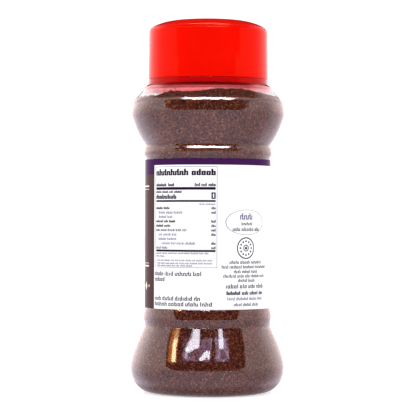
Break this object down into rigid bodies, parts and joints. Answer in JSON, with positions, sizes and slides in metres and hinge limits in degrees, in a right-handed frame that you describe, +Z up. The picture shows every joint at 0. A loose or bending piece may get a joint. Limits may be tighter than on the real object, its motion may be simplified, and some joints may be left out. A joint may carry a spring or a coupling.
{
  "type": "spice jar of ground cloves",
  "caption": "Clear hourglass spice jar filled with dark ground cloves, with a wrap-round label on its straight waist and a smooth red cap, standing upright.",
  "frame": {"origin": "centre of the jar's foot, on the surface that it stands on", "axes": "+Z up along the jar's axis, from the foot to the cap; -Y towards the label's white panel"},
  "size_m": [0.0542, 0.0542, 0.1297],
  "materials": {
    "clear_plastic": "clear blown plastic, glossy and slightly wavy",
    "ground_cloves": "fine dry powder of dark brown, with paler and near-black specks, fully matt",
    "label_film": "printed film: a white panel, a dark plum field and a purple band, under a soft sheen",
    "red_plastic": "moulded red plastic, glossy"
  },
  "bodies": {
    "root": {"jar": "clear_plastic", "ground_cloves": "ground_cloves", "label": "label_film", "cap_band": "red_plastic", "cap": "red_plastic"}
  },
  "joints": []
}
